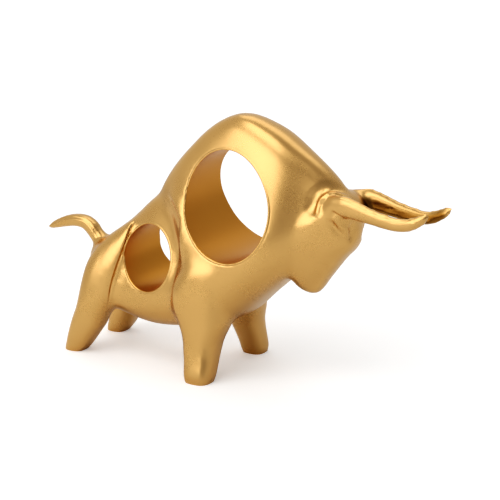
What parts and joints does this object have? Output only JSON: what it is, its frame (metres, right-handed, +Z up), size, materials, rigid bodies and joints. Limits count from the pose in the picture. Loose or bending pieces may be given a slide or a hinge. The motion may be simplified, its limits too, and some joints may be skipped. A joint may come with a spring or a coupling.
{
  "type": "bull figurine",
  "caption": "Stylised standing bull figurine with lowered head, forward horns, raised tail and two oval holes through its body.",
  "frame": {"origin": "on the ground, at the centre of the bounding box's underside", "axes": "+X from tail to horns, +Y to the bull's left, +Z up"},
  "size_m": [0.2811, 0.0815, 0.162],
  "materials": {
    "satin_gold": "satin metallic gold paint over cast resin"
  },
  "bodies": {
    "root": {"bull": "satin_gold"}
  },
  "joints": []
}
